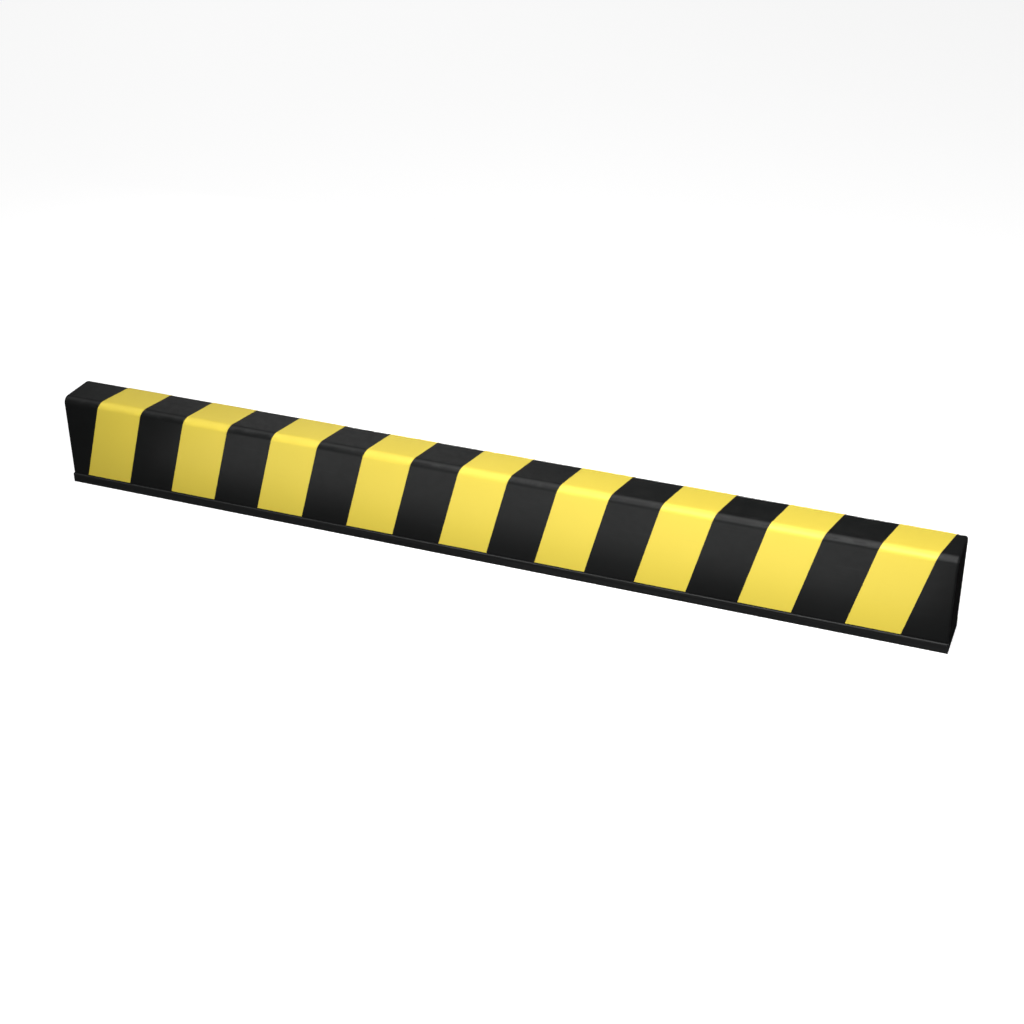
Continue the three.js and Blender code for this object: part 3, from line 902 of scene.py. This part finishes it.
class WHEELSTOP_OT_inside(bpy.types.Operator):
    """Finishes the steel core, its buffers and its slide liners"""

    bl_idname = "wheelstop.inside"
    bl_label = "Core and buffers"

    def execute(self, context):
        dress(galvanised_steel(), "core_")
        dress(crumb_rubber(), "front_buffer", "rear_buffer", "top_buffer", "end_buffer_")
        dress(slide_plastic(), "slide_liner_")
        return {"FINISHED"}


def place_light(name, kind, place, target, power, **settings):
    lamp = bpy.data.lights.new(name, kind)
    lamp.energy = power
    for key, value in settings.items():
        setattr(lamp, key, value)
    holder = bpy.data.objects.new(name, lamp)
    holder.location = place
    holder.rotation_euler = (Vector(target) - Vector(place)).to_track_quat("-Z", "Y").to_euler()
    holder.visible_camera = False
    bpy.context.scene.collection.objects.link(holder)


class WHEELSTOP_OT_stage(bpy.types.Operator):
    """Sets the floor, the lights and the camera"""

    bl_idname = "wheelstop.stage"
    bl_label = "Stage"

    def execute(self, context):
        s = context.scene.wheelstop_stage
        scene = context.scene
        half = s.floor_size / 2
        corners = [(-half, -half, 0), (half, -half, 0), (half, half, 0), (-half, half, 0)]
        mesh = bpy.data.meshes.new("floor")
        mesh.from_pydata(corners, [], [(0, 1, 2, 3)])
        mesh.materials.append(pale_floor(s))
        ground = bpy.data.objects.new("floor", mesh)
        ground.location.z = -FLOOR_DROP
        # The floor neither lights the stop nor is mirrored in it, as its glow would wash out the dark ends
        ground.visible_diffuse = False
        ground.visible_glossy = False
        scene.collection.objects.link(ground)

        place_light("main_light", "SUN", SUN_PLACE, (0, 0, 0), s.sun, angle=SUN_SPREAD)
        for name, place, target, power, width, depth in SOFT_BOXES:
            place_light(name, "AREA", place, target, power, shape="RECTANGLE", size=width, size_y=depth)
        # The near box would show as a bright line along the edge, so only the far one is mirrored there
        scene.objects["front_strip"].visible_glossy = False

        world = bpy.data.worlds.new("room")
        world.use_nodes = True
        background = world.node_tree.nodes["Background"].inputs
        background["Color"].default_value = (1, 1, 1, 1)
        background["Strength"].default_value = s.world
        scene.world = world

        lens = bpy.data.cameras.new("camera")
        lens.lens = s.lens
        lens.sensor_width = SENSOR_WIDTH
        camera = bpy.data.objects.new("camera", lens)
        camera.location = s.camera_place
        camera.rotation_euler = s.camera_turn
        scene.collection.objects.link(camera)
        scene.camera = camera
        scene.view_settings.view_transform = "Standard"
        return {"FINISHED"}


OPERATORS = (
    WHEELSTOP_OT_cover,
    WHEELSTOP_OT_bands,
    WHEELSTOP_OT_rail,
    WHEELSTOP_OT_fasteners,
    WHEELSTOP_OT_inside,
    WHEELSTOP_OT_stage,
)
SETTINGS = {
    "wheelstop_cover": CoverSettings,
    "wheelstop_bands": BandSettings,
    "wheelstop_rail": RailSettings,
    "wheelstop_stage": StageSettings,
}


class WHEELSTOP_PT_panel(bpy.types.Panel):
    """Lists the steps that build the wheel stop, with their settings"""

    bl_label = "Wheel stop"
    bl_space_type = "VIEW_3D"
    bl_region_type = "UI"
    bl_category = "Wheel stop"

    def draw(self, context):
        for operator in OPERATORS:
            self.layout.operator(operator.bl_idname)
        for name, group in SETTINGS.items():
            box = self.layout.box()
            for setting in group.__annotations__:
                box.prop(getattr(context.scene, name), setting)


def register():
    for group in (*SETTINGS.values(), *OPERATORS, WHEELSTOP_PT_panel):
        bpy.utils.register_class(group)
    for name, group in SETTINGS.items():
        setattr(bpy.types.Scene, name, PointerProperty(type=group))


def unregister():
    for name in SETTINGS:
        delattr(bpy.types.Scene, name)
    for group in reversed((*SETTINGS.values(), *OPERATORS, WHEELSTOP_PT_panel)):
        bpy.utils.unregister_class(group)


def main():
    register()
    for operator in OPERATORS:
        group, name = operator.bl_idname.split(".")
        getattr(getattr(bpy.ops, group), name)()


if __name__ == "__main__":
    main()
